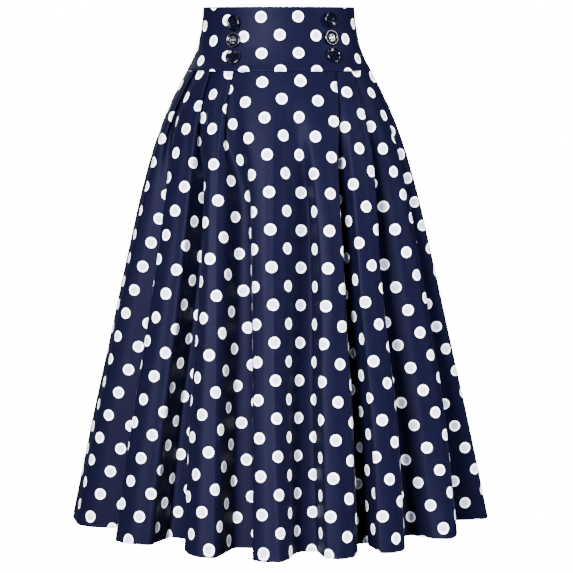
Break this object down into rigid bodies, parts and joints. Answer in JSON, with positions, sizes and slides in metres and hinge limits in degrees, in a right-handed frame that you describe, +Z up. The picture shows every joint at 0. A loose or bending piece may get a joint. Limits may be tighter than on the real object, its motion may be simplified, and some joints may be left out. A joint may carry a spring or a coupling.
{
  "type": "pleated midi skirt",
  "caption": "Flared midi skirt, hollow as worn: wide shaped waistband with columns of buttons, knife pleats opening into deep folds, centre-back zip.",
  "frame": {"origin": "centre of the waist opening, level with the top edge of the waistband, where the wearer's waist holds the skirt", "axes": "+Z up, the front faces -Y, +X to the right of someone looking at the front"},
  "size_m": [0.6129, 0.5249, 0.7454],
  "materials": {
    "dotted_cloth": "smooth woven cotton blend, navy blue with white dots",
    "button_plastic": "glossy, near black navy",
    "zip_metal": "navy enamel, satin"
  },
  "bodies": {
    "skirt": {"waistband_front": "dotted_cloth", "waistband_back_left": "dotted_cloth", "waistband_back_right": "dotted_cloth", "skirt_front": "dotted_cloth", "skirt_back_left": "dotted_cloth", "skirt_back_right": "dotted_cloth", "button_left_top": "button_plastic", "button_left_middle": "button_plastic", "button_left_bottom": "button_plastic", "button_right_top": "button_plastic", "button_right_middle": "button_plastic", "button_right_bottom": "button_plastic", "zip_slider": "zip_metal"},
    "zip_pull": {"zip_pull": "zip_metal"}
  },
  "joints": [
    {"name": "zip_pull_hinge", "type": "hinge", "parent": "skirt", "child": "zip_pull", "pos_m": [0, 0.09248, -0.0115], "axis": [1, 0, 0], "range_deg": [0, 165]}
  ]
}
